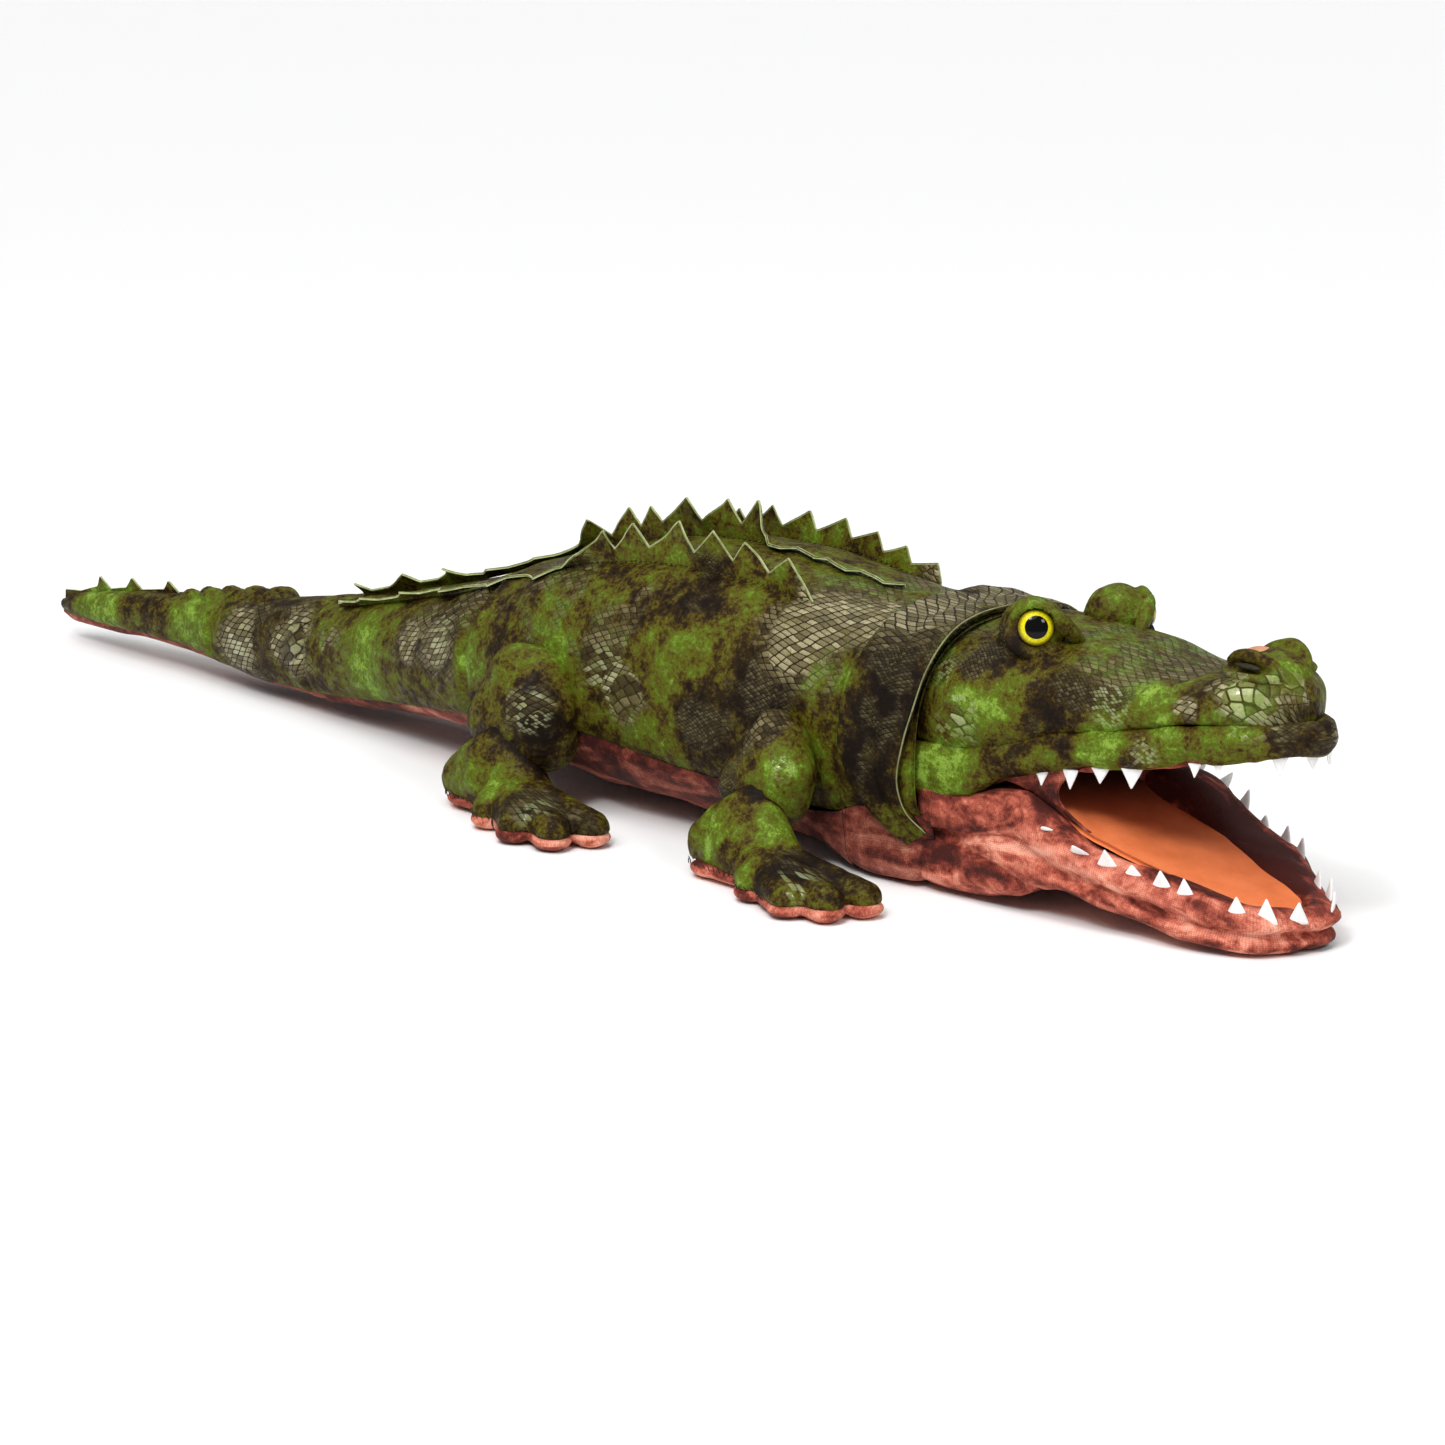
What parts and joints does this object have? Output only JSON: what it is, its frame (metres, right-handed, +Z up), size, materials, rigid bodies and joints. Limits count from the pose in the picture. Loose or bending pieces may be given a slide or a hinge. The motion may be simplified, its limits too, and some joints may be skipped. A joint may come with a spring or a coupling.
{
  "type": "crocodile hand puppet",
  "caption": "Stuffed plush crocodile hand puppet with a moving mouth, worked by a hand in the head through an opening under the belly.",
  "frame": {"origin": "on the floor, midway between the tail's tip and the lip's front, on the mirror plane", "axes": "+X towards the snout, +Y to the animal's left, +Z up"},
  "size_m": [1.082, 0.328, 0.1821],
  "materials": {
    "back_print": "printed snakeskin velour with foil glints",
    "dark_print": "dark printed velour",
    "ridge_cloth": "laminated print with a pale green cut edge",
    "belly_velour": "mottled salmon velour",
    "stuffing": "polyester fill",
    "lining": "plain lining cloth",
    "palate_cloth": "salmon velour over a stiff board",
    "mouth_foam": "matte orange felt-faced foam",
    "tooth_felt": "stiff white felt",
    "eye_gloss": "glossy yellow iris with a black pupil",
    "washer_plastic": "matte"
  },
  "bodies": {
    "torso": {"back_skin": "back_print", "belly_panel": "belly_velour", "torso_stuffing": "stuffing", "arm_sleeve": "lining", "ridge_center": "ridge_cloth", "ridge_left": "ridge_cloth", "ridge_right": "ridge_cloth"},
    "neck": {"neck_stuffing": "back_print", "collar": "dark_print"},
    "head": {"head_foam": "stuffing", "head_skin": "back_print", "upper_lip": "back_print", "palate_board": "palate_cloth", "finger_pocket": "lining", "eye_mound_left": "back_print", "eye_mound_right": "back_print", "eyelid_left": "dark_print", "eyelid_right": "dark_print", "eye_left": "eye_gloss", "eye_right": "eye_gloss", "eye_washer_left": "washer_plastic", "eye_washer_right": "washer_plastic", "nose_pad": "dark_print", "nostril_left": "dark_print", "nostril_right": "dark_print", "upper_teeth": "tooth_felt"},
    "lower_jaw": {"jaw_skin": "belly_velour", "jaw_foam": "stuffing", "lower_lip": "belly_velour", "mouth_plate": "mouth_foam", "thumb_pocket": "lining", "lower_teeth": "tooth_felt"},
    "tail_base": {"tail_base": "back_print", "tail_base_belly": "belly_velour", "tail_ridge_center": "ridge_cloth", "tail_ridge_left": "ridge_cloth", "tail_ridge_right": "ridge_cloth"},
    "tail_middle": {"tail_mid": "back_print", "tail_mid_belly": "belly_velour", "tail_puffs": "dark_print"},
    "tail_end": {"tail_tip": "back_print", "tail_spikes": "ridge_cloth"},
    "front_left_thigh": {"thigh_front_left": "back_print"},
    "front_left_foot": {"foot_front_left": "back_print", "sole_front_left": "belly_velour"},
    "front_right_thigh": {"thigh_front_right": "back_print"},
    "front_right_foot": {"foot_front_right": "back_print", "sole_front_right": "belly_velour"},
    "hind_left_thigh": {"thigh_hind_left": "back_print"},
    "hind_left_foot": {"foot_hind_left": "back_print", "sole_hind_left": "belly_velour"},
    "hind_right_thigh": {"thigh_hind_right": "back_print"},
    "hind_right_foot": {"foot_hind_right": "back_print", "sole_hind_right": "belly_velour"}
  },
  "joints": [
    {"name": "neck_turn", "type": "hinge", "parent": "torso", "child": "neck", "pos_m": [0.258, 0, 0.085], "axis": [0, 0, 1], "range_deg": [-14, 14], "stiffness_Nm_per_rad": 2},
    {"name": "head_nod", "type": "hinge", "parent": "neck", "child": "head", "pos_m": [0.3, 0, 0.085], "axis": [0, 1, 0], "range_deg": [-8, 6], "stiffness_Nm_per_rad": 3},
    {"name": "mouth", "type": "hinge", "parent": "head", "child": "lower_jaw", "pos_m": [0.35, 0, 0.07], "axis": [0, 1, 0], "range_deg": [-17.5, 8], "stiffness_Nm_per_rad": 1.2},
    {"name": "tail_base_bend", "type": "hinge", "parent": "torso", "child": "tail_base", "pos_m": [-0.15, 0, 0.05], "axis": [0, 0, 1], "range_deg": [-20, 20], "stiffness_Nm_per_rad": 1},
    {"name": "tail_middle_bend", "type": "hinge", "parent": "tail_base", "child": "tail_middle", "pos_m": [-0.29, 0, 0.035], "axis": [0, 0, 1], "range_deg": [-20, 20], "stiffness_Nm_per_rad": 0.6},
    {"name": "tail_end_bend", "type": "hinge", "parent": "tail_middle", "child": "tail_end", "pos_m": [-0.41, 0, 0.032], "axis": [0, 0, 1], "range_deg": [-20, 20], "stiffness_Nm_per_rad": 0.4},
    {"name": "front_left_swing", "type": "hinge", "parent": "torso", "child": "front_left_thigh", "pos_m": [0.228, 0.1, 0.066], "axis": [0, 1, 0], "range_deg": [-17, 17], "stiffness_Nm_per_rad": 1.5},
    {"name": "front_left_knee", "type": "hinge", "parent": "front_left_thigh", "child": "front_left_foot", "pos_m": [0.194, 0.105, 0.032], "axis": [0, 1, 0], "range_deg": [0, 20], "stiffness_Nm_per_rad": 0.8},
    {"name": "front_right_swing", "type": "hinge", "parent": "torso", "child": "front_right_thigh", "pos_m": [0.228, -0.1, 0.066], "axis": [0, 1, 0], "range_deg": [-17, 17], "stiffness_Nm_per_rad": 1.5},
    {"name": "front_right_knee", "type": "hinge", "parent": "front_right_thigh", "child": "front_right_foot", "pos_m": [0.194, -0.105, 0.032], "axis": [0, 1, 0], "range_deg": [0, 20], "stiffness_Nm_per_rad": 0.8},
    {"name": "hind_left_swing", "type": "hinge", "parent": "torso", "child": "hind_left_thigh", "pos_m": [0.022, 0.1, 0.07], "axis": [0, 1, 0], "range_deg": [-17, 17], "stiffness_Nm_per_rad": 1.5},
    {"name": "hind_left_knee", "type": "hinge", "parent": "hind_left_thigh", "child": "hind_left_foot", "pos_m": [-0.014, 0.105, 0.032], "axis": [0, 1, 0], "range_deg": [0, 20], "stiffness_Nm_per_rad": 0.8},
    {"name": "hind_right_swing", "type": "hinge", "parent": "torso", "child": "hind_right_thigh", "pos_m": [0.022, -0.1, 0.07], "axis": [0, 1, 0], "range_deg": [-17, 17], "stiffness_Nm_per_rad": 1.5},
    {"name": "hind_right_knee", "type": "hinge", "parent": "hind_right_thigh", "child": "hind_right_foot", "pos_m": [-0.014, -0.105, 0.032], "axis": [0, 1, 0], "range_deg": [0, 20], "stiffness_Nm_per_rad": 0.8}
  ]
}
